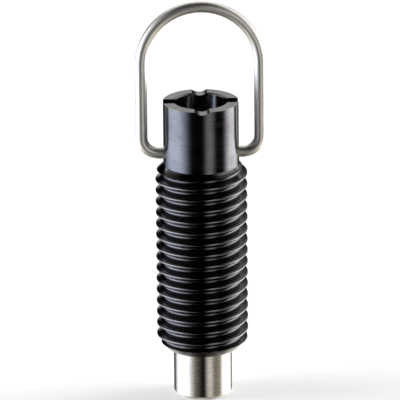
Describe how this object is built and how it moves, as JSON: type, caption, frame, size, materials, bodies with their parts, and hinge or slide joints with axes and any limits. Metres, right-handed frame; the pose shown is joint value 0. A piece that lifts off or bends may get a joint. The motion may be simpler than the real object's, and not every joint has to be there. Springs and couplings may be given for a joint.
{
  "type": "indexing plunger with pull ring",
  "caption": "Threaded steel sleeve with a sprung locking pin; a wire ring pulls the pin back, and after a quarter turn it parks in notches across the slotted collar.",
  "frame": {"origin": "centre of the sleeve's lower end face, where the pin comes out", "axes": "+Z along the plunger's axis towards the pull ring, +X along the line of the deep slots, in the plane of the standing ring"},
  "size_m": [0.0222, 0.0156, 0.0704],
  "materials": {
    "blackened_steel": "turned steel with a glossy black oxide finish",
    "ground_steel": "hardened and ground, bright",
    "spring_steel": "drawn spring wire, satin",
    "ring_wire": "drawn stainless wire, satin"
  },
  "bodies": {
    "sleeve": {"sleeve": "blackened_steel", "spring": "spring_steel"},
    "plunger": {"plunger": "ground_steel"},
    "ring": {"pull_ring": "ring_wire"}
  },
  "joints": [
    {"name": "plunger_slide", "type": "slide", "parent": "sleeve", "child": "plunger", "axis": [0, 0, 1], "range_m": [0, 0.0106], "stiffness_N_per_m": 2000, "springref_m": -0.006, "deforming": ["spring"]},
    {"name": "ring_hinge", "type": "hinge", "parent": "plunger", "child": "ring", "pos_m": [0, 0, 0.0351], "axis": [1, 0, 0], "range_deg": [-159, 159]}
  ]
}
